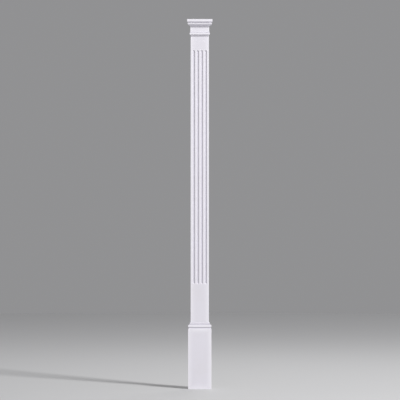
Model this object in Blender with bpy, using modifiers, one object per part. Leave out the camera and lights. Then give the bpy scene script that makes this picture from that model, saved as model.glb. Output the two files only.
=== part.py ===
"""A wall pilaster in three moulded pieces: a plinth block, a fluted shaft and a capital.

Run it with: blender --background --python part.py
Metres, +Z up. The wall is the plane y = 0 and the pilaster's front faces -Y. The origin is
the centre of the shaft's flat back. A profile point is (projection, height): how far the
moulding stands out from its piece's neck, to the front and to both sides alike, and how
high it is above the piece's underside.
"""

import math

import bmesh
import bpy
from mathutils import Vector

# The fluted shaft, a flat strip with the flutes' round ends short of both its ends.
SHAFT_WIDTH = 0.097
SHAFT_DEPTH = 0.018
SHAFT_LENGTH = 1.528
FLUTE_COUNT = 4
FLUTE_WIDTH = 0.011
FLUTE_DEPTH = 0.0045
FLUTE_MARGIN = 0.0167  # from the shaft's side to the middle of the outer flute
PLAIN_ABOVE_FLUTES = 0.082
PLAIN_BELOW_FLUTES = 0.204

# The capital, from its underside up.
CAPITAL_SIDE_REVEAL = 0.0018  # how far its neck stands out past the shaft's side
CAPITAL_FRONT_REVEAL = 0.0053
LIP_PROJECTION = 0.0032
LIP_HEIGHT = 0.0093
LIP_ROUND = 0.0014
QUIRK_PROJECTION = 0.0002  # the bottom of the narrow groove above the lip
QUIRK_HEIGHT = 0.0016
NECK_COVE_PROJECTION = 0.0026
NECK_COVE_HEIGHT = 0.0056
NECK_BAND_HEIGHT = 0.0235
OGEE_PROJECTION = 0.0126
OGEE_HEIGHT = 0.0165
OGEE_TURN = 0.6  # share of the ogee that is hollow, below where it turns to round
CROWN_FILLET_STEP = 0.0013
CROWN_FILLET_HEIGHT = 0.0057
CROWN_COVE_DEPTH = 0.0050  # how far the hollow under the fascia goes in behind the fillet
CROWN_COVE_HEIGHT = 0.0053
CROWN_COVE_ROUND = 0.0035
FASCIA_PROJECTION = 0.0030
FASCIA_LEAN = 0.0006  # how much further the fascia stands out at its top
FASCIA_HEIGHT = 0.0135

# The plinth block, from its underside up.
BASE_SIDE_REVEAL = 0.0018
BASE_FRONT_REVEAL = 0.0043
PLINTH_HEIGHT = 0.3197
PLINTH_PROJECTION = 0.0117
SCOTIA_DEPTH = 0.0040  # how far the hollow above the plinth is set back from its face
SCOTIA_HEIGHT = 0.0099
SCOTIA_TURN = 0.42  # share of the hollow's height that lies below its deepest line
BEAD_HEIGHT = 0.0096
BEAD_ROUND = 0.0014
CAVETTO_PROJECTION = 0.0036
CAVETTO_HEIGHT = 0.0036
CAVETTO_TOP_STEP = 0.0024  # how far the cavetto starts outside the fillet above it
BASE_QUIRK_DEPTH = 0.0018
BASE_QUIRK_HEIGHT = 0.0014
TOP_FILLET_PROJECTION = 0.0032
TOP_FILLET_HEIGHT = 0.0088
TOP_FILLET_ROUND = 0.0027

# All pieces.
ARRIS = 0.0009  # radius of the outer edges, as they come from the mould
JOINT_GAP = 0.0003
ARRIS_STEPS = 3
ARC_STEPS = 8
FLUTE_SIDES = 32
SHARP_ANGLE = math.radians(30)
PRIMER_COLOUR = (0.80, 0.79, 0.82, 1.0)
PRIMER_ROUGHNESS = 0.5

# What follows from the sizes above.
CAPITAL_HEIGHT = (
    LIP_HEIGHT
    + QUIRK_HEIGHT
    + NECK_COVE_HEIGHT
    + NECK_BAND_HEIGHT
    + OGEE_HEIGHT
    + CROWN_FILLET_HEIGHT
    + CROWN_COVE_HEIGHT
    + FASCIA_HEIGHT
)
BASE_HEIGHT = (
    PLINTH_HEIGHT
    + SCOTIA_HEIGHT
    + BEAD_HEIGHT
    + CAVETTO_HEIGHT
    + BASE_QUIRK_HEIGHT
    + TOP_FILLET_HEIGHT
)
FLUTE_PITCH = (SHAFT_WIDTH - 2 * FLUTE_MARGIN) / (FLUTE_COUNT - 1)
FLUTE_LENGTH = SHAFT_LENGTH - PLAIN_ABOVE_FLUTES - PLAIN_BELOW_FLUTES
FLUTE_RADIUS = ((FLUTE_WIDTH / 2) ** 2 + FLUTE_DEPTH**2) / (2 * FLUTE_DEPTH)
SHAFT_FOOT = -SHAFT_LENGTH / 2


def clear_scene():
    """Remove whatever the scene starts with."""
    for old in list(bpy.data.objects):
        bpy.data.objects.remove(old, do_unlink=True)


def new_collection(name):
    """A collection in the scene."""
    collection = bpy.data.collections.new(name)
    bpy.context.scene.collection.children.link(collection)
    return collection


def white_primer(name):
    """The factory primer that covers a piece."""
    material = bpy.data.materials.new(f"{name}_primer")
    material.use_nodes = True
    shader = material.node_tree.nodes["Principled BSDF"]
    shader.inputs["Base Color"].default_value = PRIMER_COLOUR
    shader.inputs["Roughness"].default_value = PRIMER_ROUGHNESS
    shader.inputs["Metallic"].default_value = 0.0
    return material


def arc_from_upright(upright, far, steps=ARC_STEPS):
    """Points of a circular arc that leaves the point upright vertically and ends at far."""
    out = far[0] - upright[0]
    up = far[1] - upright[1]
    radius = (out**2 + up**2) / (2 * abs(out))
    turn = math.atan2(abs(up), radius - abs(out))
    points = []
    for step in range(steps + 1):
        angle = turn * step / steps
        along = math.copysign(radius * (1 - math.cos(angle)), out)
        rise = math.copysign(radius * math.sin(angle), up)
        points.append((upright[0] + along, upright[1] + rise))
    return points


def arc_to_upright(far, upright, steps=ARC_STEPS):
    """The same arc, taken from its far end to its upright end."""
    return arc_from_upright(upright, far, steps)[::-1]


def ogee(start, end):
    """A double curve, upright at both ends, hollow at first and then round."""
    turn = Vector(start).lerp(Vector(end), OGEE_TURN)
    return arc_from_upright(start, turn) + arc_to_upright(turn, end)[1:]


def capital_profile():
    """The capital's moulding from its underside to its top."""
    lip_top = LIP_HEIGHT
    quirk_top = lip_top + QUIRK_HEIGHT
    cove_top = quirk_top + NECK_COVE_HEIGHT
    band_top = cove_top + NECK_BAND_HEIGHT
    ogee_top = band_top + OGEE_HEIGHT
    fillet_top = ogee_top + CROWN_FILLET_HEIGHT
    soffit = fillet_top + CROWN_COVE_HEIGHT
    fillet = OGEE_PROJECTION + CROWN_FILLET_STEP
    cove = fillet - CROWN_COVE_DEPTH
    fascia = fillet + FASCIA_PROJECTION
    crown = fascia + FASCIA_LEAN
    return [
        *arc_to_upright((LIP_PROJECTION - ARRIS, 0), (LIP_PROJECTION, ARRIS), ARRIS_STEPS),
        *arc_from_upright(
            (LIP_PROJECTION, lip_top - LIP_ROUND), (LIP_PROJECTION - LIP_ROUND, lip_top)
        ),
        (QUIRK_PROJECTION, lip_top),
        (QUIRK_PROJECTION, quirk_top),
        *arc_to_upright((NECK_COVE_PROJECTION, quirk_top), (0, cove_top)),
        *ogee((0, band_top), (OGEE_PROJECTION, ogee_top)),
        (fillet, ogee_top),
        (fillet, fillet_top),
        (cove, fillet_top),
        *arc_from_upright((cove, soffit - CROWN_COVE_ROUND), (cove + CROWN_COVE_ROUND, soffit)),
        (fascia, soffit),
        *arc_from_upright(
            (crown, CAPITAL_HEIGHT - ARRIS), (crown - ARRIS, CAPITAL_HEIGHT), ARRIS_STEPS
        ),
    ]


def base_profile():
    """The plinth block's moulding from its underside to its top."""
    scotia = PLINTH_PROJECTION - SCOTIA_DEPTH
    scotia_low = PLINTH_HEIGHT + SCOTIA_TURN * SCOTIA_HEIGHT
    scotia_top = PLINTH_HEIGHT + SCOTIA_HEIGHT
    bead_top = scotia_top + BEAD_HEIGHT
    cavetto_top = bead_top + CAVETTO_HEIGHT
    quirk_top = cavetto_top + BASE_QUIRK_HEIGHT
    cavetto = TOP_FILLET_PROJECTION + CAVETTO_TOP_STEP
    quirk = TOP_FILLET_PROJECTION - BASE_QUIRK_DEPTH
    return [
        (PLINTH_PROJECTION, 0),
        (PLINTH_PROJECTION, PLINTH_HEIGHT),
        *arc_to_upright((PLINTH_PROJECTION - ARRIS / 2, PLINTH_HEIGHT), (scotia, scotia_low)),
        *arc_from_upright((scotia, scotia_low), (PLINTH_PROJECTION, scotia_top))[1:],
        *arc_from_upright(
            (PLINTH_PROJECTION, bead_top - BEAD_ROUND), (PLINTH_PROJECTION - BEAD_ROUND, bead_top)
        ),
        *arc_to_upright((cavetto + CAVETTO_PROJECTION, bead_top), (cavetto, cavetto_top)),
        (quirk, cavetto_top),
        (quirk, quirk_top),
        (TOP_FILLET_PROJECTION, quirk_top),
        *arc_from_upright(
            (TOP_FILLET_PROJECTION, BASE_HEIGHT - TOP_FILLET_ROUND),
            (TOP_FILLET_PROJECTION - TOP_FILLET_ROUND, BASE_HEIGHT),
        ),
    ]


def plan_outline(half_width, depth, height):
    """A piece's outline seen from above, round at its two front corners, at one height."""
    outline = [Vector((-half_width, 0, height))]
    for side in (-1, 1):
        centre = Vector((side * (half_width - ARRIS), ARRIS - depth, height))
        for step in range(ARRIS_STEPS + 1):
            share = step / ARRIS_STEPS if side > 0 else 1 - step / ARRIS_STEPS
            angle = math.radians(90 * share)
            outline.append(centre + ARRIS * Vector((side * math.sin(angle), -math.cos(angle), 0)))
    outline.append(Vector((half_width, 0, height)))
    return outline


def raise_through(name, outlines, collection):
    """A solid whose lowest outline is raised through the ones above it, one by one."""
    mesh = bpy.data.meshes.new(name)
    shape = bmesh.new()
    top = shape.faces.new([shape.verts.new(point) for point in outlines[0]])
    for number, outline in enumerate(outlines[1:]):
        raised = bmesh.ops.extrude_face_region(shape, geom=[top])["geom"]
        if number:
            shape.faces.remove(top)
        top = next(item for item in raised if isinstance(item, bmesh.types.BMFace))
        for corner, point in zip(top.verts, outline):
            corner.co = point
    shape.to_mesh(mesh)
    shape.free()
    mesh.shade_smooth()
    mesh.set_sharp_from_angle(angle=SHARP_ANGLE)
    mesh.materials.append(white_primer(name))
    piece = bpy.data.objects.new(name, mesh)
    collection.objects.link(piece)
    return piece


def returned_moulding(name, profile, side_reveal, front_reveal, collection):
    """A block whose moulding runs across its front and returns along both sides to the wall."""
    neck_half_width = SHAFT_WIDTH / 2 + side_reveal
    neck_depth = SHAFT_DEPTH + front_reveal
    outlines = [
        plan_outline(neck_half_width + out, neck_depth + out, height) for out, height in profile
    ]
    return raise_through(name, outlines, collection)


def flute_cutter(index, collection):
    """A long bar with ball ends that lies in the shaft's face and cuts one flute."""
    half_run = FLUTE_LENGTH / 2 - FLUTE_WIDTH / 2
    ball = [
        (FLUTE_RADIUS * math.sin(angle), half_run + FLUTE_RADIUS * math.cos(angle))
        for angle in (math.radians(90 * step / ARC_STEPS) for step in range(ARC_STEPS + 1))
    ]
    profile = ball + [(radius, -height) for radius, height in reversed(ball)]
    mesh = bpy.data.meshes.new(f"flute_cutter_{index}")
    mesh.from_pydata(
        [(radius, 0, height) for radius, height in profile],
        [(step, step + 1) for step in range(len(profile) - 1)],
        [],
    )
    cutter = bpy.data.objects.new(mesh.name, mesh)
    cutter.location = (
        FLUTE_MARGIN - SHAFT_WIDTH / 2 + index * FLUTE_PITCH,
        FLUTE_DEPTH - FLUTE_RADIUS - SHAFT_DEPTH,
        SHAFT_FOOT + PLAIN_BELOW_FLUTES + FLUTE_LENGTH / 2,
    )
    screw = cutter.modifiers.new("turn", "SCREW")
    screw.steps = FLUTE_SIDES
    screw.render_steps = FLUTE_SIDES
    screw.use_merge_vertices = True
    screw.merge_threshold = 0.00005
    cutter.hide_render = True
    cutter.display_type = "WIRE"
    collection.objects.link(cutter)
    return cutter


def fluted_shaft(collection, cutters):
    """The flat strip with its row of flutes."""
    outlines = [
        plan_outline(SHAFT_WIDTH / 2, SHAFT_DEPTH, height) for height in (0, SHAFT_LENGTH)
    ]
    shaft = raise_through("shaft", outlines, collection)
    for index in range(FLUTE_COUNT):
        cut = shaft.modifiers.new(f"flute_{index}", "BOOLEAN")
        cut.operation = "DIFFERENCE"
        cut.solver = "EXACT"
        cut.object = flute_cutter(index, cutters)
    return shaft


def build():
    """The whole pilaster, its pieces stacked on one empty at the centre of the shaft's back."""
    clear_scene()
    collection = new_collection("pilaster")
    cutters = new_collection("cutters")
    capital = returned_moulding(
        "capital", capital_profile(), CAPITAL_SIDE_REVEAL, CAPITAL_FRONT_REVEAL, collection
    )
    shaft = fluted_shaft(collection, cutters)
    base = returned_moulding(
        "base", base_profile(), BASE_SIDE_REVEAL, BASE_FRONT_REVEAL, collection
    )
    shaft.location.z = SHAFT_FOOT
    capital.location.z = SHAFT_FOOT + SHAFT_LENGTH + JOINT_GAP
    base.location.z = SHAFT_FOOT - JOINT_GAP - BASE_HEIGHT
    wall_point = bpy.data.objects.new("pilaster", None)
    wall_point.empty_display_size = SHAFT_WIDTH
    collection.objects.link(wall_point)
    for piece in (capital, shaft, base):
        piece.parent = wall_point


build()
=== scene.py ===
"""The dressed model of a fluted wall pilaster, and the studio that it is pictured in.

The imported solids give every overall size. The capital, the shaft and the plinth block are
modelled again over them, with rounded arrises, smooth curves and fair flutes, and they get
their sprayed white primer. Metres, +Z up. The wall is the plane y = 0, and the front faces -Y.
"""

import logging
import math
from dataclasses import dataclass
from enum import Enum

import bmesh
import bpy
from bmesh.types import BMVert
from bpy.types import Material, Node, NodeTree, Object
from bpy.types import NodeSocket as Output
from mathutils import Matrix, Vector


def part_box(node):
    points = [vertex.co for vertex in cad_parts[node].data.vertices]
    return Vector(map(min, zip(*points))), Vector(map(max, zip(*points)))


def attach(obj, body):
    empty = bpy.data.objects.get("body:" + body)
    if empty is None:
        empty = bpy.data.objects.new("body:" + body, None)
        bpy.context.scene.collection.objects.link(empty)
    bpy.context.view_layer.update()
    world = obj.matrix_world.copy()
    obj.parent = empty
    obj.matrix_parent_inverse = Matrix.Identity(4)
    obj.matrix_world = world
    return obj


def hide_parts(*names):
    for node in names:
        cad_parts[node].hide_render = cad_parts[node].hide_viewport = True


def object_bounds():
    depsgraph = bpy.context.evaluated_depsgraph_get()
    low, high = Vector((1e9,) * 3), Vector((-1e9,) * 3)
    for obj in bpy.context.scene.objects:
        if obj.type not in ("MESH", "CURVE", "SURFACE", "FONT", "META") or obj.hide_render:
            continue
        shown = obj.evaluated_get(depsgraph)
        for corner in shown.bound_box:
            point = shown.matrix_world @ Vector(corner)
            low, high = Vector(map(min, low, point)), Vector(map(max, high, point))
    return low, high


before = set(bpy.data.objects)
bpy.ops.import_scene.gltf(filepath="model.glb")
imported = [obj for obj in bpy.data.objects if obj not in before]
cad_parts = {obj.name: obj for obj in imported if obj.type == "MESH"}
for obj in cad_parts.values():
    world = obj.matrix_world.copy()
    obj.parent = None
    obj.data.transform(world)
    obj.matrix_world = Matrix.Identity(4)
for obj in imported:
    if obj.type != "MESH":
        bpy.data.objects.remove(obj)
cad_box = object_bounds()

LOG = logging.getLogger("pilaster")

# How far the painted highlight reaches from an arris, and how far around a hollow counts.
RIM_REACH = 0.030
HOLLOW_REACH = 0.010
# How far below what stands near it a full hollow lies.
HOLLOW_FULL = 0.0025
# Distances from the ends of a straight stretch that get a point, and the share that they fill.
GRADES = (0.0015, 0.004, 0.008, 0.016, 0.030)
SIDE_SHARE = 0.45
# A smaller turn of a section is part of a curve. Faces that meet at a larger angle stay sharp.
SMOOTH_TURN = math.radians(24)
SHARP_ANGLE = math.radians(50)
# How much more a large face counts in the shading, from 1 to 100.
FLAT_FACE_WEIGHT = 90
# Points within one step of the grid are one, and a face below the least area is a line.
WELD_GRID = 2e-6
LEAST_AREA = 1e-10
# Places are rounded to so many digits, and compared with so much slack.
DIGITS = 7
SLACK = 1e-6
# Number of straight bits that stand for each kind of curve.
ARRIS_STEPS = 5
LIP_STEPS = 6
COVE_STEPS = 8
CAVETTO_STEPS = 10
CURVE_STEPS = 12
# How the nodes are laid out in the node editor.
NODE_ACROSS = 220
NODE_DOWN = -260
NODES_IN_ROW = 8

Point = tuple[float, float]
Ring = list[BMVert]
Colour = tuple[float, float, float, float]


class Side(Enum):
    """Which finish a face of a moulding gets: its number is the material's place on the mesh."""

    COATED = 0
    BACK = 1


class Aim(Enum):
    """What a studio light is there for."""

    KEY = "key"
    OVER = "over"
    RIM = "rim"


@dataclass(frozen=True)
class Stop:
    """One point of a section, with the distances that place its painted highlight and painted
    shade.

    Attributes:
        out: How far it stands out from the piece's neck.
        up: How far along the section's axis it lies, from the underside up.
        rim: Distance along the section to the nearest proud corner.
        hollow: 0 where nothing near it stands further out, and 1 deep in a hollow.
    """

    out: float
    up: float
    rim: float
    hollow: float


@dataclass(frozen=True)
class Station:
    """One point of a piece's outline, seen from above.

    Attributes:
        x: Place across the front.
        y: Place from the wall, negative towards the viewer.
        rim: Distance along the outline to the nearest front corner.
    """

    x: float
    y: float
    rim: float

    def mirrored(self) -> "Station":
        """The same point on the other side."""
        return Station(-self.x, self.y, self.rim)


class Section:
    """A section drawn from its start up, as the moulder's drawing gives it.

    The solid lies on the side of smaller out. Corners are drawn sharp and rounded when the
    section is traced.
    """

    def __init__(self, out: float, up: float) -> None:
        """Starts the drawing at its first point."""
        self.points: list[Point] = [(out, up)]

    def lines(self, *ends: Point) -> None:
        """Draws straight stretches from point to point."""
        self.points += ends

    def curve(self, out: float, up: float, upright_first: bool, steps: int = CURVE_STEPS) -> None:
        """Draws a circular arc that is upright at one of its ends.

        Args:
            out: Where it ends.
            up: Where it ends.
            upright_first: True if the upright end is the start, and False if it is the end.
            steps: Number of straight bits that stand for it.
        """
        start = self.points[-1]
        upright, far = (start, (out, up)) if upright_first else ((out, up), start)
        across, rise = far[0] - upright[0], far[1] - upright[1]
        radius = (across**2 + rise**2) / (2 * abs(across))
        turn = math.atan2(abs(rise), radius - abs(across))
        for step in range(1, steps + 1):
            angle = turn * (step / steps if upright_first else 1 - step / steps)
            aside = math.copysign(radius * (1 - math.cos(angle)), across)
            along = math.copysign(radius * math.sin(angle), rise)
            self.points.append((upright[0] + aside, upright[1] + along))

    def traced(self, proud: float, inner: float) -> list[Stop]:
        """The section with its corners rounded and its long stretches graded.

        Args:
            proud: Radius of the corners that stand out.
            inner: Radius of the corners that lie in.

        Returns:
            The section's stops, in order, with their rim and hollow filled in.
        """
        path: list[Point] = [self.points[0]]
        corners: list[Point] = []
        for before, here, after in zip(self.points, self.points[1:], self.points[2:]):
            turn = turn_at(before, here, after)
            if abs(turn) < SMOOTH_TURN:
                path.append(here)
                continue
            path += rounded(before, here, after, proud if turn > 0 else inner)
            if turn > 0:
                corners.append(here)
        path.append(self.points[-1])
        path = graded(path)
        stops = []
        for here in path:
            rim = min((math.dist(here, corner) for corner in corners), default=RIM_REACH)
            stops.append(Stop(*here, rim, hollow_at(path, here)))
        return stops


def turn_at(before: Point, here: Point, after: Point) -> float:
    """How far a path turns at a point.

    Args:
        before: The point before it.
        here: The point.
        after: The point after it.

    Returns:
        The angle in radians, positive where the corner stands proud.
    """
    come = Vector((here[0] - before[0], here[1] - before[1]))
    leave = Vector((after[0] - here[0], after[1] - here[1]))
    return math.atan2(come.x * leave.y - come.y * leave.x, come.dot(leave))


def rounded(before: Point, here: Point, after: Point, radius: float) -> list[Point]:
    """A corner as a small arc.

    Args:
        before: The point before the corner.
        here: The corner.
        after: The point after it.
        radius: Radius of the arc, made smaller where the sides are too short for it.

    Returns:
        The arc's points, from the side of before to the side of after.
    """
    corner = Vector(here)
    back = Vector(before) - corner
    on = Vector(after) - corner
    half = back.angle(on) / 2
    reach = min(radius / math.tan(half), SIDE_SHARE * back.length, SIDE_SHARE * on.length)
    back.normalize()
    on.normalize()
    centre = corner + (back + on).normalized() * reach / math.cos(half)
    first = corner + back * reach - centre
    last = corner + on * reach - centre
    start = math.atan2(first.y, first.x)
    turn = math.remainder(math.atan2(last.y, last.x) - start, math.tau)
    angles = [start + turn * step / ARRIS_STEPS for step in range(ARRIS_STEPS + 1)]
    swing = first.length
    return [(centre.x + swing * math.cos(at), centre.y + swing * math.sin(at)) for at in angles]


def graded(path: list[Point]) -> list[Point]:
    """Adds points to the long straight stretches of a path, close together near their ends.

    Args:
        path: The path.

    Returns:
        The path with the added points.
    """
    full = [path[0]]
    for start, end in zip(path, path[1:]):
        length = math.dist(start, end)
        near = [grade for grade in GRADES if grade < SIDE_SHARE * length]
        for along in near + [length - grade for grade in reversed(near)]:
            full.append(tuple(Vector(start).lerp(Vector(end), along / length)))
        full.append(end)
    return full


def hollow_at(path: list[Point], here: Point) -> float:
    """How deep a point lies below what stands out near it.

    Args:
        path: The whole section.
        here: The point.

    Returns:
        0 on the proudest parts, up to 1 in a deep hollow.
    """
    deepest = 0.0
    for out, up in path:
        closeness = 1 - abs(up - here[1]) / HOLLOW_REACH
        deepest = max(deepest, (out - here[0]) * max(closeness, 0.0))
    return min(deepest / HOLLOW_FULL, 1.0)


@dataclass(frozen=True)
class Extent:
    """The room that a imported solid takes, which the piece built over it fills.

    Attributes:
        half_width: Half of its size across the front.
        depth: How far it stands out from the wall.
        low: Height of its underside.
        high: Height of its top.
    """

    half_width: float
    depth: float
    low: float
    high: float

    @classmethod
    def of_node(cls, node: str) -> "Extent":
        """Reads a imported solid's room from the frame."""
        lowest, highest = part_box(node)
        return cls(highest.x, -lowest.y, lowest.z, highest.z)


@dataclass(frozen=True)
class Plan:
    """A piece's outline seen from above, with round front corners and eased back edges.

    Attributes:
        half_width: Half of its width at the neck.
        depth: Its depth at the neck.
        fronts: Places across the front, from the middle to the right, that get a point.
        arris: Radius of the front corners.
        eased: Radius of the back edges.
    """

    half_width: float
    depth: float
    fronts: tuple[float, ...]
    arris: float = 0.0009
    eased: float = 0.0004

    def outline(self, out: float) -> list[Station]:
        """The outline where the section stands out by a given amount.

        Args:
            out: How far the section stands out from the neck.

        Returns:
            The stations from the back on the left, along the front, to the back on the right.
        """
        half, face = self.half_width + out, -(self.depth + out)
        flat = half - self.arris
        right = [Station(x + out, face, flat - x - out) for x in self.fronts if x > 0]
        for step in range(ARRIS_STEPS + 1):
            angle = math.radians(90 * step / ARRIS_STEPS)
            x = flat + self.arris * math.sin(angle)
            right.append(Station(x, face + self.arris * (1 - math.cos(angle)), 0.0))
        right += [Station(half, face + self.arris + grade, grade) for grade in GRADES[:3]]
        for angle in (0.0, math.radians(45), math.radians(90)):
            x = half - self.eased * (1 - math.cos(angle))
            right.append(Station(x, -self.eased * (1 - math.sin(angle)), self.depth + out))
        middle = [Station(0.0, face, flat)] if 0.0 in self.fronts else []
        return [station.mirrored() for station in reversed(right)] + middle + right


class Skin:
    """A mesh in the making, whose points carry the masks that the finishes read."""

    def __init__(self) -> None:
        """Starts with no points."""
        self.shape = bmesh.new()
        self.arris = self.shape.verts.layers.float.new("arris")
        self.hollow = self.shape.verts.layers.float.new("hollow")
        self.known: dict[tuple[int, int, int], BMVert] = {}

    def point(self, place: Vector, rim: float, hollow: float) -> BMVert:
        """The point at a place, made new if there is none yet.

        Args:
            place: Where it is.
            rim: Its distance to the nearest arris.
            hollow: How deep it lies, from 0 to 1.

        Returns:
            The point.
        """
        key = tuple(round(value / WELD_GRID) for value in place)
        if key not in self.known:
            made = self.shape.verts.new(place)
            made[self.arris] = max(0.0, 1 - rim / RIM_REACH)
            made[self.hollow] = hollow
            self.known[key] = made
        return self.known[key]

    def panel(self, corners: Ring, side: Side = Side.COATED) -> None:
        """A face, or none where its corners fall together on a line.

        Args:
            corners: Its corners, anticlockwise as seen from outside.
            side: Which finish it gets.
        """
        kept = list(dict.fromkeys(corners))
        if len(kept) > 2:
            self.shape.faces.new(kept).material_index = side.value

    def join_rows(self, lower: Ring, upper: Ring, skipped: range = range(0)) -> None:
        """Faces between two outlines, one above the other, the back face among them.

        Args:
            lower: The lower outline's points.
            upper: The upper outline's points.
            skipped: Numbers of the stretches that are left open.
        """
        count = len(lower)
        for at in range(count):
            after = (at + 1) % count
            if at not in skipped:
                side = Side.BACK if after == 0 else Side.COATED
                self.panel([lower[at], lower[after], upper[after], upper[at]], side)

    def merge_back_strips(self) -> None:
        """Joins each back face that a shelf has squeezed to a line with the face beside it."""
        shape = self.shape
        while strip := next((face for face in shape.faces if face.calc_area() < LEAST_AREA), None):
            longest = max(strip.edges, key=lambda edge: edge.calc_length())
            bmesh.ops.dissolve_edges(shape, edges=[longest])

    def to_object(self, name: str, node: str, finishes: list[Material]) -> Object:
        """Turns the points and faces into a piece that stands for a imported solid.

        Args:
            name: The piece's name.
            node: The solid's name.
            finishes: Its materials, in the order of Side.

        Returns:
            The piece.
        """
        mesh = bpy.data.meshes.new(name)
        self.shape.to_mesh(mesh)
        self.shape.free()
        mesh.shade_smooth()
        mesh.set_sharp_from_angle(angle=SHARP_ANGLE)
        for finish in finishes:
            mesh.materials.append(finish)
        piece = put_in_scene(name, mesh)
        normals = piece.modifiers.new("flat_faces_first", "WEIGHTED_NORMAL")
        normals.keep_sharp = True
        normals.weight = FLAT_FACE_WEIGHT
        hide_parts(node)
        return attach(piece, "root")


def put_in_scene(name: str, data: bpy.types.ID) -> Object:
    """Makes an object and puts it in the scene.

    Args:
        name: Its name.
        data: Its mesh, lamp or camera.

    Returns:
        The object.
    """
    made = bpy.data.objects.new(name, data)
    bpy.context.scene.collection.objects.link(made)
    return made


class Nodes:
    """Places and links shader nodes in one tree."""

    def __init__(self, tree: NodeTree) -> None:
        """Takes the material's or group's tree to work in."""
        self.tree = tree
        self.count = 0

    def add(self, kind: str, settings: dict | None = None, **inputs: object) -> Node:
        """Places a node, sets its options and fills or links its inputs.

        Args:
            kind: The node's type.
            settings: Its options by name.
            **inputs: Its inputs by name, with _ for a blank, each a value or an output socket.

        Returns:
            The node.
        """
        node = self.tree.nodes.new(kind)
        row, place = divmod(self.count, NODES_IN_ROW)
        node.location = (NODE_ACROSS * place, NODE_DOWN * row)
        self.count += 1
        for option, value in (settings or {}).items():
            setattr(node, option, value)
        for name, value in inputs.items():
            self.feed(node, name.replace("_", " "), value)
        return node

    def feed(self, node: Node, name: str | int, value: object) -> None:
        """Sets or links one input.

        Args:
            node: The node.
            name: The input's name or number.
            value: A value, or the output socket to link.
        """
        if isinstance(value, Output):
            self.tree.links.new(value, node.inputs[name])
        else:
            node.inputs[name].default_value = value

    def maths(self, operation: str, *values: object) -> Output:
        """Places a Math node.

        Args:
            operation: What it does.
            *values: Its inputs in order.

        Returns:
            Its output.
        """
        node = self.add("ShaderNodeMath", {"operation": operation})
        for number, value in enumerate(values):
            self.feed(node, number, value)
        return node.outputs[0]

    def noise(self, place: Output, scale: object, detail: float, roughness: float) -> Output:
        """Places a Noise Texture node that is read at a place."""
        inputs = {"Vector": place, "Scale": scale, "Detail": detail, "Roughness": roughness}
        return self.add("ShaderNodeTexNoise", **inputs).outputs[0]

    def ramp(self, value: Output, start: float, end: float) -> Output:
        """Places a Map Range node that goes from 0 at the start value to 1 at the end value."""
        node = self.add("ShaderNodeMapRange", Value=value, From_Min=start, From_Max=end)
        return node.outputs["Result"]

    def mask(self, name: str) -> Output:
        """Places an Attribute node that reads one of the mesh's masks."""
        return self.add("ShaderNodeAttribute", {"attribute_name": name}).outputs["Fac"]

    def group(self, name: str, **inputs: object) -> Node:
        """Places a shader node group and fills or links its inputs, as add does."""
        return self.add("ShaderNodeGroup", {"node_tree": bpy.data.node_groups[name]}, **inputs)

    def blended(self, share: object, first: object, second: object, way: str = "MIX") -> Output:
        """Places a colour Mix node.

        Args:
            share: How much of the second colour shows.
            first: The first colour.
            second: The second colour.
            way: How they are mixed.

        Returns:
            Its output.
        """
        node = self.add("ShaderNodeMix", {"data_type": "RGBA", "blend_type": way})
        # The node's colours are its inputs 6 and 7 and its output 2.
        for number, value in ((0, share), (6, first), (7, second)):
            self.feed(node, number, value)
        return node.outputs[2]


def new_group(
    name: str, inputs: tuple[str, ...], outputs: tuple[str, ...]
) -> tuple[Nodes, Node, Node]:
    """Starts a shader node group.

    A socket whose name ends in Colour carries a colour, and any other a value.

    Args:
        name: Its name.
        inputs: The names of its inputs.
        outputs: The names of its outputs.

    Returns:
        The tool that places its nodes, its input node and its output node.
    """
    tree = bpy.data.node_groups.new(name, "ShaderNodeTree")
    for way, sockets in (("INPUT", inputs), ("OUTPUT", outputs)):
        for socket in sockets:
            kind = "NodeSocketColor" if socket.endswith("Colour") else "NodeSocketFloat"
            tree.interface.new_socket(socket, in_out=way, socket_type=kind)
    nodes = Nodes(tree)
    return nodes, nodes.add("NodeGroupInput"), nodes.add("NodeGroupOutput")


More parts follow.
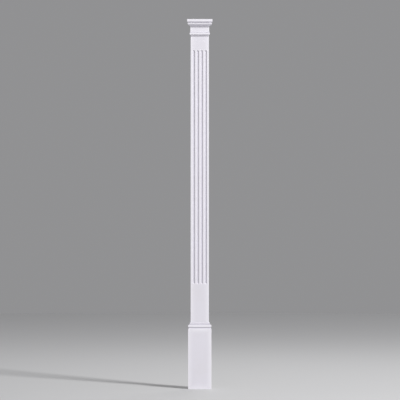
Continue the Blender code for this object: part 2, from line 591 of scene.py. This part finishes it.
@dataclass(frozen=True)
class SprayedFilm:
    """The surface that sprayed primer dries to, as a node group.

    It has a fine orange peel, a dry grain, broad unevenness left by the cast foam, and a few
    pinholes where a bubble broke.

    Attributes:
        peel_calm: How much lower the peel's dimples are deep in a hollow.
        grain_scale: Number of grains to the metre.
        grain_height: Their height.
        wave_scale: Number of broad waves to the metre.
        line_scale: Number of drawn lines to the metre, across, in depth and along.
        bubble_scale: Number of bubbles to the metre.
        bubble_edge: Where a pinhole starts and where it is deepest, in shares of a bubble's room.
        bubble_whole: Share of the bubbles that didn't break.
        bubble_depth: Depth of a pinhole.
    """

    NAME = "sprayed_film"
    peel_calm: float = 0.5
    grain_scale: float = 2600.0
    grain_height: float = 0.000006
    wave_scale: float = 11.0
    line_scale: tuple[float, float, float] = (900.0, 900.0, 5.0)
    bubble_scale: float = 34.0
    bubble_edge: tuple[float, float] = (0.012, 0.006)
    bubble_whole: float = 0.62
    bubble_depth: float = 0.00015

    def build(self) -> NodeTree:
        """Makes the group.

        Returns:
            The group.
        """
        inputs = ("Peel Size", "Peel Height", "Unevenness", "Draw Lines", "Hollow")
        outputs = ("Height", "Pinholes", "Grain")
        nodes, given, result = new_group(self.NAME, inputs, outputs)
        place = nodes.add("ShaderNodeTexCoord").outputs["Object"]
        peel_scale = nodes.maths("DIVIDE", 1.0, given.outputs["Peel Size"])
        peel = nodes.noise(place, peel_scale, 2.0, 0.45)
        grain = nodes.noise(place, self.grain_scale, 3.0, 0.6)
        broad = nodes.noise(place, self.wave_scale, 2.0, 0.5)
        stretched = nodes.add("ShaderNodeMapping", Vector=place, Scale=self.line_scale)
        lines = nodes.noise(stretched.outputs[0], 1.0, 3.0, 0.55)
        bubbles = nodes.add("ShaderNodeTexVoronoi", Vector=place, Scale=self.bubble_scale)
        burst = nodes.ramp(bubbles.outputs["Distance"], *self.bubble_edge)
        some = nodes.add("ShaderNodeSeparateColor", Color=bubbles.outputs["Color"])
        rare = nodes.maths("GREATER_THAN", some.outputs[0], self.bubble_whole)
        pinholes = nodes.maths("MULTIPLY", burst, rare)
        calm = nodes.maths("MULTIPLY_ADD", given.outputs["Hollow"], -self.peel_calm, 1.0)
        height = nodes.maths("MULTIPLY", peel, given.outputs["Peel Height"])
        height = nodes.maths("MULTIPLY", height, calm)
        height = nodes.maths("MULTIPLY_ADD", grain, self.grain_height, height)
        height = nodes.maths("MULTIPLY_ADD", broad, given.outputs["Unevenness"], height)
        height = nodes.maths("MULTIPLY_ADD", lines, given.outputs["Draw Lines"], height)
        height = nodes.maths("MULTIPLY_ADD", pinholes, -self.bubble_depth, height)
        for name, value in zip(outputs, (height, pinholes, grain)):
            nodes.feed(result, name, value)
        return nodes.tree


@dataclass(frozen=True)
class UnevenTint:
    """The uneven colour of a coat that hides its foam here more and there less, as a node group.

    Attributes:
        patch_scale: Number of patches to the metre.
        speck_scale: Number of specks in them to the metre.
        speck_share: How strong the specks are, of how strong the patches are.
        patch_edge: Where a patch starts, and where it is strongest.
    """

    NAME = "uneven_tint"
    patch_scale: float = 7.0
    speck_scale: float = 160.0
    speck_share: float = 0.35
    patch_edge: tuple[float, float] = (0.42, 0.92)

    def build(self) -> NodeTree:
        """Makes the group.

        Returns:
            The group.
        """
        inputs = ("Colour", "Patch Colour", "Patch Share")
        nodes, given, result = new_group(self.NAME, inputs, ("Colour", "Patches"))
        place = nodes.add("ShaderNodeTexCoord").outputs["Object"]
        broad = nodes.noise(place, self.patch_scale, 4.0, 0.6)
        specks = nodes.noise(place, self.speck_scale, 3.0, 0.7)
        patches = nodes.maths("MULTIPLY_ADD", specks, self.speck_share, broad)
        patches = nodes.ramp(patches, *self.patch_edge)
        share = nodes.maths("MULTIPLY", patches, given.outputs["Patch Share"])
        tint = nodes.blended(share, given.outputs["Colour"], given.outputs["Patch Colour"])
        nodes.feed(result, "Colour", tint)
        nodes.feed(result, "Patches", patches)
        return nodes.tree


@dataclass(frozen=True)
class Finish:
    """A surface of the cast foam: its tint, its patches, its pinholes and its fine relief.

    Attributes:
        name: The material's name.
        colour: Its colour.
        patch_colour: The colour of its patches, where the coat is thin or dust lies.
        patch_share: How much of that colour shows at most.
        pinhole_shade_colour: The painted shade down in a pinhole.
        roughness: How matt it is.
        peel_size: Distance between the dimples of its peel, or between the foam's open cells.
        peel_height: Their height.
        draw_lines: Height of the lines drawn along the piece by the mould or the sander.
        unevenness: Height of the broad waves of the cast foam.
    """

    name: str
    colour: Colour
    patch_colour: Colour
    patch_share: float
    pinhole_shade_colour: Colour
    roughness: float
    peel_size: float
    peel_height: float
    draw_lines: float
    unevenness: float

    def coat(self, nodes: Nodes, shader: Node, film: Node, tint: Node) -> Output:
        """Sets how matt the surface is, and gives its colour between the pinholes."""
        nodes.feed(shader, "Roughness", self.roughness)
        return tint.outputs["Colour"]

    def build(self) -> Material:
        """Makes the material.

        Returns:
            The material.
        """
        material, nodes, shader = new_material(self.name)
        film = nodes.group(
            SprayedFilm.NAME,
            Peel_Size=self.peel_size,
            Peel_Height=self.peel_height,
            Unevenness=self.unevenness,
            Draw_Lines=self.draw_lines,
        )
        tint = nodes.group(
            UnevenTint.NAME,
            Colour=self.colour,
            Patch_Colour=self.patch_colour,
            Patch_Share=self.patch_share,
        )
        colour = self.coat(nodes, shader, film, tint)
        # Painted shade: the colour is darkened down in the pinholes.
        colour = nodes.blended(film.outputs["Pinholes"], colour, self.pinhole_shade_colour)
        nodes.feed(shader, "Base Color", colour)
        bump = nodes.add("ShaderNodeBump", Height=film.outputs["Height"], Distance=1.0)
        nodes.feed(shader, "Normal", bump.outputs[0])
        return material


@dataclass(frozen=True)
class Primer(Finish):
    """White primer sprayed on moulded rigid foam.

    Attributes:
        painted_shade_colour: What the colour is multiplied by deep in a hollow, as painted shade.
        painted_highlight_colour: The colour of the painted highlight along the arrises.
        painted_highlight_share: How much of the painted highlight shows there.
        painted_highlight_fall: How steeply it fades away from them.
        patch_matt: How much more matt the coat is where it is thin.
        grain_matt: How much more matt it is on the grain.
    """

    colour: Colour = (0.80, 0.78, 0.85, 1.0)
    patch_colour: Colour = (0.74, 0.715, 0.75, 1.0)
    patch_share: float = 0.55
    pinhole_shade_colour: Colour = (0.45, 0.43, 0.42, 1.0)
    roughness: float = 0.46
    peel_size: float = 0.0022
    peel_height: float = 0.0001
    draw_lines: float = 0.0
    unevenness: float = 0.00025
    painted_shade_colour: Colour = (0.80, 0.795, 0.82, 1.0)
    painted_highlight_colour: Colour = (0.91, 0.89, 0.945, 1.0)
    painted_highlight_share: float = 0.85
    painted_highlight_fall: float = 1.6
    patch_matt: float = 0.10
    grain_matt: float = 0.08

    def coat(self, nodes: Nodes, shader: Node, film: Node, tint: Node) -> Output:
        """Paints a highlight along the arrises and paints shade in the hollows, where the peel is
        calmer too.

        Args:
            nodes: The tool that places nodes in the material.
            shader: The material's Principled BSDF.
            film: The node of the sprayed film.
            tint: The node of the uneven tint.

        Returns:
            The output with the coat's colour.
        """
        rim = nodes.mask("arris")
        hollow = nodes.mask("hollow")
        nodes.feed(film, "Hollow", hollow)
        # Painted highlight: the colour is lightened along the arrises, fading away from them.
        highlight_strength = nodes.maths("POWER", rim, self.painted_highlight_fall)
        highlight_strength = nodes.maths("MULTIPLY", highlight_strength, self.painted_highlight_share)
        colour = nodes.blended(highlight_strength, tint.outputs["Colour"], self.painted_highlight_colour)
        least = self.roughness - self.patch_matt / 2
        matt = nodes.maths("MULTIPLY_ADD", tint.outputs["Patches"], self.patch_matt, least)
        matt = nodes.maths("MULTIPLY_ADD", film.outputs["Grain"], self.grain_matt, matt)
        nodes.feed(shader, "Roughness", matt)
        # Painted shade: the colour is darkened deep in the hollows.
        return nodes.blended(hollow, colour, self.painted_shade_colour, "MULTIPLY")


@dataclass(frozen=True)
class SandedFoam(Finish):
    """The flat back, planed off and left bare for the glue, with patches of sanding dust."""

    colour: Colour = (0.72, 0.67, 0.54, 1.0)
    patch_colour: Colour = (0.84, 0.81, 0.73, 1.0)
    patch_share: float = 0.8
    pinhole_shade_colour: Colour = (0.4, 0.35, 0.26, 1.0)
    roughness: float = 0.85
    peel_size: float = 0.0007
    peel_height: float = 0.00005
    draw_lines: float = 0.00004
    unevenness: float = 0.0004


def new_material(name: str) -> tuple[Material, Nodes, Node]:
    """Starts a material.

    Args:
        name: Its name.

    Returns:
        The material, the tool that places its nodes, and its Principled BSDF.
    """
    material = bpy.data.materials.new(name)
    material.use_nodes = True
    shader = material.node_tree.nodes["Principled BSDF"]
    shader.location = (NODE_ACROSS * (NODES_IN_ROW + 1), 0)
    material.node_tree.nodes["Material Output"].location = (NODE_ACROSS * (NODES_IN_ROW + 3), 0)
    return material, Nodes(material.node_tree), shader


@dataclass
class ReturnedMoulding:
    """A piece whose moulding runs across its front and returns along both sides.

    Attributes:
        node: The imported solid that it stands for.
        neck: How far the section's widest point stands out from the neck.
        proud: Radius of the corners that stand out.
        inner: Radius of the corners that lie in.
    """

    node: str
    neck: float
    proud: float = 0.0008
    inner: float = 0.0005

    def __post_init__(self) -> None:
        """Reads the piece's room from the frame."""
        self.extent = Extent.of_node(self.node)

    def section(self) -> Section:
        """The piece's section, which each kind of piece draws itself."""
        raise NotImplementedError

    def build(self, finishes: list[Material]) -> Object:
        """Models the piece and fixes it to the frame.

        Args:
            finishes: Its materials, in the order of Side.

        Returns:
            The piece.
        """
        half = self.extent.half_width - self.neck
        fronts = tuple(half - grade for grade in reversed(GRADES))
        plan = Plan(half, self.extent.depth - self.neck, fronts)
        skin = Skin()
        rows = []
        for stop in self.section().traced(self.proud, self.inner):
            row = []
            for station in plan.outline(stop.out):
                place = Vector((station.x, station.y, self.extent.low + stop.up))
                row.append(skin.point(place, min(stop.rim, station.rim), stop.hollow))
            rows.append(row)
        for lower, upper in zip(rows, rows[1:]):
            skin.join_rows(lower, upper)
        skin.panel(rows[0][::-1])
        skin.panel(rows[-1])
        skin.merge_back_strips()
        return skin.to_object(f"{self.node}_moulding", self.node, finishes)


@dataclass
class Capital(ReturnedMoulding):
    """The capital: a lip, a groove, a cove, a neck band, an ogee, a fillet, a hollow and a fascia.

    Heights and projections are the moulder's, and the leaning fascia takes up what is left.
    """

    node: str = "capital"
    neck: float = 0.0175
    cap_inset: float = 0.004
    lip_out: float = 0.0032
    lip_high: float = 0.0093
    lip_round: float = 0.0014
    quirk_out: float = 0.0002
    quirk_high: float = 0.0016
    cove_out: float = 0.0026
    cove_high: float = 0.0056
    band_high: float = 0.0235
    ogee_out: float = 0.0126
    ogee_high: float = 0.0165
    ogee_turn: float = 0.6
    fillet_step: float = 0.0013
    fillet_high: float = 0.0057
    crown_cove_deep: float = 0.0050
    crown_cove_high: float = 0.0053
    crown_cove_round: float = 0.0035
    fascia_out: float = 0.0030

    def section(self) -> Section:
        """Draws the capital's section.

        Returns:
            The section, from the underside up.
        """
        quirk = self.lip_high + self.quirk_high
        cove = quirk + self.cove_high
        band = cove + self.band_high
        ogee = band + self.ogee_high
        fillet = ogee + self.fillet_high
        soffit = fillet + self.crown_cove_high
        high = self.extent.high - self.extent.low
        front = self.ogee_out + self.fillet_step
        cove_back = front - self.crown_cove_deep
        drawn = Section(self.lip_out - self.cap_inset, 0)
        drawn.lines((self.lip_out, 0), (self.lip_out, self.lip_high - self.lip_round))
        drawn.curve(self.lip_out - self.lip_round, self.lip_high, True, LIP_STEPS)
        drawn.lines((self.quirk_out, self.lip_high), (self.quirk_out, quirk))
        drawn.lines((self.cove_out, quirk))
        drawn.curve(0, cove, False, COVE_STEPS)
        drawn.lines((0, band))
        drawn.curve(self.ogee_turn * self.ogee_out, band + self.ogee_turn * self.ogee_high, True)
        drawn.curve(self.ogee_out, ogee, False)
        drawn.lines((front, ogee), (front, fillet), (cove_back, fillet))
        drawn.lines((cove_back, soffit - self.crown_cove_round))
        drawn.curve(cove_back + self.crown_cove_round, soffit, True, COVE_STEPS)
        drawn.lines((front + self.fascia_out, soffit), (self.neck, high))
        drawn.lines((self.neck - self.cap_inset, high))
        return drawn


@dataclass
class PlinthBlock(ReturnedMoulding):
    """The plinth block: a plain tall face, a hollow, a bead, a cavetto, a groove and a top fillet.

    The plain face takes up the height that the mouldings leave.
    """

    node: str = "base"
    neck: float = 0.0117
    cap_inset: float = 0.004
    hollow_in: float = 0.0040
    hollow_high: float = 0.0099
    hollow_turn: float = 0.42
    hollow_step: float = 0.0005
    bead_high: float = 0.0096
    bead_round: float = 0.0014
    cavetto_out: float = 0.0036
    cavetto_high: float = 0.0036
    cavetto_step: float = 0.0024
    quirk_in: float = 0.0018
    quirk_high: float = 0.0014
    fillet_out: float = 0.0032
    fillet_high: float = 0.0088
    fillet_round: float = 0.0027

    def section(self) -> Section:
        """Draws the block's section.

        Returns:
            The section, from the underside up.
        """
        high = self.extent.high - self.extent.low
        quirk = high - self.fillet_high
        cavetto = quirk - self.quirk_high
        bead = cavetto - self.cavetto_high
        hollow = bead - self.bead_high
        plinth = hollow - self.hollow_high
        deepest = plinth + self.hollow_turn * self.hollow_high
        cavetto_in = self.fillet_out + self.cavetto_step
        quirk_bottom = self.fillet_out - self.quirk_in
        fillet_flat = self.fillet_out - self.fillet_round
        drawn = Section(self.neck - self.cap_inset, 0)
        drawn.lines((self.neck, 0), (self.neck, plinth), (self.neck - self.hollow_step, plinth))
        drawn.curve(self.neck - self.hollow_in, deepest, False, COVE_STEPS)
        drawn.curve(self.neck, hollow, True, COVE_STEPS)
        drawn.lines((self.neck, bead - self.bead_round))
        drawn.curve(self.neck - self.bead_round, bead, True, COVE_STEPS)
        drawn.lines((cavetto_in + self.cavetto_out, bead))
        drawn.curve(cavetto_in, cavetto, False, CAVETTO_STEPS)
        drawn.lines((quirk_bottom, cavetto), (quirk_bottom, quirk))
        drawn.lines((self.fillet_out, quirk), (self.fillet_out, high - self.fillet_round))
        drawn.curve(fillet_flat, high, True, COVE_STEPS)
        drawn.lines((fillet_flat - self.cap_inset, high))
        return drawn


@dataclass
class FlutedShaft:
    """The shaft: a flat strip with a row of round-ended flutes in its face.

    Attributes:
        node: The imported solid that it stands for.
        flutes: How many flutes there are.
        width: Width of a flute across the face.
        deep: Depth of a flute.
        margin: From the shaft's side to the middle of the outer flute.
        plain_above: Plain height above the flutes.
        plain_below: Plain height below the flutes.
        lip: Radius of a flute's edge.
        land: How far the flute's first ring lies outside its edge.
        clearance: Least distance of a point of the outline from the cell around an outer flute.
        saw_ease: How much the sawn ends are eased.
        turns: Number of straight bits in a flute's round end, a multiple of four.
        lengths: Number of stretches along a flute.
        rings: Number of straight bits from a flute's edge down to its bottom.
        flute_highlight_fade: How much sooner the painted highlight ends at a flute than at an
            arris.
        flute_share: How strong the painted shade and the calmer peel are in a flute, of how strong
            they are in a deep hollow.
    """

    node: str = "shaft"
    flutes: int = 4
    width: float = 0.011
    deep: float = 0.0045
    margin: float = 0.0167
    plain_above: float = 0.082
    plain_below: float = 0.204
    lip: float = 0.0005
    land: float = 0.0015
    clearance: float = 0.002
    saw_ease: float = 0.0003
    turns: int = 16
    lengths: int = 12
    rings: int = 12
    flute_highlight_fade: float = 7.0
    flute_share: float = 0.7

    def __post_init__(self) -> None:
        """Works out the places of the flutes from the frame and the sizes."""
        self.extent = Extent.of_node(self.node)
        half = self.extent.half_width
        self.pitch = 2 * (half - self.margin) / (self.flutes - 1)
        self.centres = [number * self.pitch + self.margin - half for number in range(self.flutes)]
        self.low_centre = self.extent.low + self.plain_below + self.width / 2
        self.high_centre = self.extent.high - self.plain_above - self.width / 2
        self.cells_low = self.low_centre - self.pitch / 2
        self.cells_high = self.high_centre + self.pitch / 2
        self.directions = [math.pi * step / self.turns for step in range(self.turns + 1)]

    def rim_at(self, x: float, z: float) -> float:
        """How far a point of the face counts as being from the nearest arris or flute edge.

        Args:
            x: Place across.
            z: Height.

        Returns:
            The distance.
        """
        nearest = self.extent.half_width - abs(x)
        axis_z = min(max(z, self.low_centre), self.high_centre)
        for centre in self.centres:
            from_edge = abs(math.dist((x, z), (centre, axis_z)) - self.width / 2)
            nearest = min(nearest, from_edge * self.flute_highlight_fade)
        return nearest

    def cell_edge(self, direction: float) -> Point:
        """Where a ray from a flute's end centre meets the square cell around that end.

        Args:
            direction: The ray's angle, from 0 on the right to a half turn on the left.

        Returns:
            The place across and up, from the end's centre.
        """
        across, rise = math.cos(direction), math.sin(direction)
        reach = self.pitch / 2 / max(abs(across), abs(rise))
        return across * reach, rise * reach

    def fronts(self) -> tuple[float, ...]:
        """Places across the front, from the middle to the right, that need a point.

        Returns:
            The places, in order.
        """
        half = self.extent.half_width
        edge = self.centres[-1] + self.pitch / 2 + self.clearance
        near_arris = [half - grade for grade in GRADES if half - grade > edge]
        places = {round(place - Plan.arris, DIGITS) for place in near_arris}
        for centre in self.centres:
            for direction in self.directions:
                places.add(round(centre + self.cell_edge(direction)[0], DIGITS))
        return tuple(sorted(abs(place) for place in places if place > -SLACK))

    def rows(self) -> list[Point]:
        """The heights that get an outline, each with how far it stands out.

        Returns:
            Pairs of height and out, from the bottom up.
        """
        low, high = self.extent.low, self.extent.high
        levels = {low + self.saw_ease, high - self.saw_ease}
        for start, sense in ((low, 1), (self.cells_low, -1), (self.cells_high, 1), (high, -1)):
            levels |= {start + sense * grade for grade in GRADES}
        for direction in self.directions[: self.turns // 2 + 1]:
            rise = self.cell_edge(direction)[1]
            levels |= {self.low_centre - rise, self.high_centre + rise}
        for step in range(self.lengths + 1):
            levels.add(self.low_centre + (self.high_centre - self.low_centre) * step / self.lengths)
        unique = sorted({round(level, DIGITS) for level in levels})
        return [(low, -self.saw_ease), *((level, 0.0) for level in unique), (high, -self.saw_ease)]

    def flute_rings(self) -> list[Stop]:
        """The flute's section from the land down to its bottom.

        Returns:
            Stops whose out is minus the depth and whose up is the distance in from the edge.
        """
        half = self.width / 2
        radius = (half**2 + self.deep**2) / (2 * self.deep)
        drawn = Section(0, -self.land)
        drawn.lines((0, 0))
        first = math.asin(half / radius)
        for step in range(1, self.rings + 1):
            angle = first * (1 - step / self.rings)
            out = radius * (1 - math.cos(angle)) - self.deep
            drawn.lines((out, half - radius * math.sin(angle)))
        return drawn.traced(self.lip, self.lip)

    def around_flute(self, centre: float, half: float | None = None) -> list[Point]:
        """The outline of a ring in a flute, seen from the front.

        Args:
            centre: The flute's place across.
            half: The ring's half width, or None for the cell around the flute.

        Returns:
            Its points across and up, anticlockwise from the right of the lower end's centre.
        """
        if half is None:
            end = [self.cell_edge(direction) for direction in self.directions]
        else:
            end = [(half * math.cos(turn), half * math.sin(turn)) for turn in self.directions]
        side = end[0][0]
        span = self.high_centre - self.low_centre
        between = [span * step / self.lengths for step in range(1, self.lengths)]
        places = [(centre + side, self.low_centre + along) for along in between]
        places += [(centre + across, self.high_centre + rise) for across, rise in end]
        places += [(centre - side, self.high_centre - along) for along in between]
        places += [(centre - across, self.low_centre - rise) for across, rise in end]
        return places

    def add_flute(self, skin: Skin, centre: float) -> None:
        """Models one flute and the cell of face around it.

        Args:
            skin: The mesh in the making.
            centre: The flute's place across.
        """
        face = -self.extent.depth
        outer = []
        for x, z in self.around_flute(centre):
            outer.append(skin.point(Vector((x, face, z)), self.rim_at(x, z), 0.0))
        for stop in self.flute_rings():
            ring = []
            for x, z in self.around_flute(centre, self.width / 2 - stop.up):
                rim = stop.rim * self.flute_highlight_fade
                # The hollow mask, which paints shade in the flute and calms its peel.
                hollow = stop.hollow * self.flute_share
                ring.append(skin.point(Vector((x, face - stop.out, z)), rim, hollow))
            for at in range(len(ring)):
                skin.panel([outer[at - 1], outer[at], ring[at], ring[at - 1]])
            outer = ring

    def build(self, finishes: list[Material]) -> Object:
        """Models the shaft and fixes it to the frame.

        Args:
            finishes: Its materials, in the order of Side.

        Returns:
            The piece.
        """
        skin = Skin()
        plan = Plan(self.extent.half_width, self.extent.depth, self.fronts())
        edge = self.centres[-1] + self.pitch / 2 + SLACK
        face = -self.extent.depth
        inner = [at for at, s in enumerate(plan.outline(0.0)) if s.y == face and abs(s.x) < edge]
        made = []
        for height, out in self.rows():
            row = []
            for station in plan.outline(out):
                place = Vector((station.x, station.y, height))
                on_face = station.y == face
                rim = self.rim_at(station.x, height) if on_face else station.rim
                row.append(skin.point(place, rim, 0.0))
            made.append((height, row))
        for (height, lower), (_, upper) in zip(made, made[1:]):
            fluted = self.cells_low - SLACK < height < self.cells_high - SLACK
            skin.join_rows(lower, upper, range(inner[0], inner[-1]) if fluted else range(0))
        skin.panel(made[0][1][::-1])
        skin.panel(made[-1][1])
        for centre in self.centres:
            self.add_flute(skin, centre)
        loose = [point for point in skin.shape.verts if not point.link_faces]
        bmesh.ops.delete(skin.shape, geom=loose, context="VERTS")
        return skin.to_object(f"{self.node}_fluted", self.node, finishes)


@dataclass(frozen=True)
class Softbox:
    """A large soft light that looks at the middle of the pilaster.

    Attributes:
        aim: What it is there for.
        azimuth: Where it stands, in degrees to the right of the camera.
        height: Its height above the pilaster's middle.
        distance: How far out it stands.
        width: Its width.
        tall: Its height as a lamp.
        power: Its power in watts.
    """

    aim: Aim
    azimuth: float
    height: float
    distance: float
    width: float
    tall: float
    power: float

    def build(self, middle: Vector) -> None:
        """Sets the light up.

        Args:
            middle: The point that it looks at.
        """
        lamp = bpy.data.lights.new(f"{self.aim.value}_light", "AREA")
        lamp.shape = "RECTANGLE"
        lamp.size = self.width
        lamp.size_y = self.tall
        lamp.energy = self.power
        light = put_in_scene(lamp.name, lamp)
        angle = math.radians(self.azimuth)
        away = Vector((math.sin(angle), -math.cos(angle), 0)) * self.distance
        light.location = middle + away + Vector((0, 0, self.height))
        light.rotation_euler = (middle - light.location).to_track_quat("-Z", "Y").to_euler()
        light.visible_camera = False


@dataclass
class Studio:
    """The plain studio: a pale floor, a pale surround, soft lights and a level camera.

    Attributes:
        floor_radius: Radius of the round floor.
        floor_colour: The floor's colour.
        floor_roughness: How matt the floor is.
        floor_sides: Number of straight bits that stand for its round edge.
        surround: The surround's colour.
        surround_strength: How bright the surround is.
        lens: The camera's focal length in millimetres.
        millimetres_per_pixel: Scale of the picture at the pilaster's face.
        picture_size: The picture's width and height in pixels.
        shaft_top_row: Row of the picture where the shaft ends.
        axis_column: Column of the picture where the pilaster's axis lies.
    """

    floor_radius: float = 8.0
    floor_colour: Colour = (0.58, 0.58, 0.585, 1.0)
    floor_roughness: float = 0.7
    floor_sides: int = 128
    surround: Colour = (0.86, 0.86, 0.88, 1.0)
    surround_strength: float = 0.33
    lens: float = 200.0
    millimetres_per_pixel: float = 5.3125
    picture_size: int = 400
    shaft_top_row: float = 34.7
    axis_column: float = 199.73
    lights: tuple[Softbox, ...] = (
        Softbox(Aim.KEY, 46.0, 1.0, 6.0, 0.5, 2.4, 70.0),
        Softbox(Aim.OVER, 46.0, 8.6, 8.4, 1.7, 1.7, 1180.0),
        Softbox(Aim.RIM, 160.0, 2.4, 2.2, 1.6, 1.0, 24.0),
    )

    def floor(self, foot: float) -> None:
        """Lays the floor.

        Args:
            foot: Its height.
        """
        mesh = bpy.data.meshes.new("floor")
        shape = bmesh.new()
        bmesh.ops.create_circle(
            shape, cap_ends=True, segments=self.floor_sides, radius=self.floor_radius
        )
        shape.to_mesh(mesh)
        shape.free()
        material, _, shader = new_material("floor_paint")
        shader.inputs["Base Color"].default_value = self.floor_colour
        shader.inputs["Roughness"].default_value = self.floor_roughness
        mesh.materials.append(material)
        laid = put_in_scene("floor", mesh)
        laid.location.z = foot

    def surroundings(self) -> None:
        """Sets the pale surround that fills the shadows."""
        world = bpy.data.worlds.new("pale_surround")
        world.use_nodes = True
        back = world.node_tree.nodes["Background"]
        back.inputs["Color"].default_value = self.surround
        back.inputs["Strength"].default_value = self.surround_strength
        bpy.context.scene.world = world

    def camera(self, shaft: Extent) -> None:
        """Sets up the level camera straight in front of the pilaster.

        Args:
            shaft: The shaft's room, whose top has its place in the picture.
        """
        camera = bpy.data.cameras.new("front_camera")
        camera.lens = self.lens
        metres_per_pixel = self.millimetres_per_pixel / 1000
        field = self.picture_size * metres_per_pixel
        stand = put_in_scene("front_camera", camera)
        middle = self.picture_size / 2
        stand.location = (
            (middle - self.axis_column) * metres_per_pixel,
            -shaft.depth - field * self.lens / camera.sensor_width,
            shaft.high - (middle - self.shaft_top_row) * metres_per_pixel,
        )
        stand.rotation_euler = (math.radians(90), 0, 0)
        bpy.context.scene.camera = stand

    def build(self, shaft: Extent, lowest: Vector, highest: Vector) -> None:
        """Sets up the whole studio.

        Args:
            shaft: The shaft's room.
            lowest: The pilaster's lowest corner.
            highest: The pilaster's highest corner.
        """
        self.floor(lowest.z)
        self.surroundings()
        for light in self.lights:
            light.build((lowest + highest) / 2)
        self.camera(shaft)
        bpy.context.scene.view_settings.view_transform = "Standard"


def main() -> None:
    """Builds the pieces in order, then the studio."""
    logging.basicConfig(level=logging.INFO, format="%(name)s: %(message)s")
    SprayedFilm().build()
    UnevenTint().build()
    cast = Primer("white_primer_cast").build()
    drawn = Primer("white_primer_drawn", draw_lines=0.00004, unevenness=0.0002).build()
    back = SandedFoam("sanded_back").build()
    shaft = FlutedShaft()
    for part, coat in ((PlinthBlock(), cast), (shaft, drawn), (Capital(), cast)):
        piece = part.build([coat, back])
        triangles = sum(len(face.vertices) - 2 for face in piece.data.polygons)
        LOG.info("%s stands for %s with %d triangles", piece.name, part.node, triangles)
    Studio().build(shaft.extent, *cad_box)


if __name__ == "__main__":
    main()
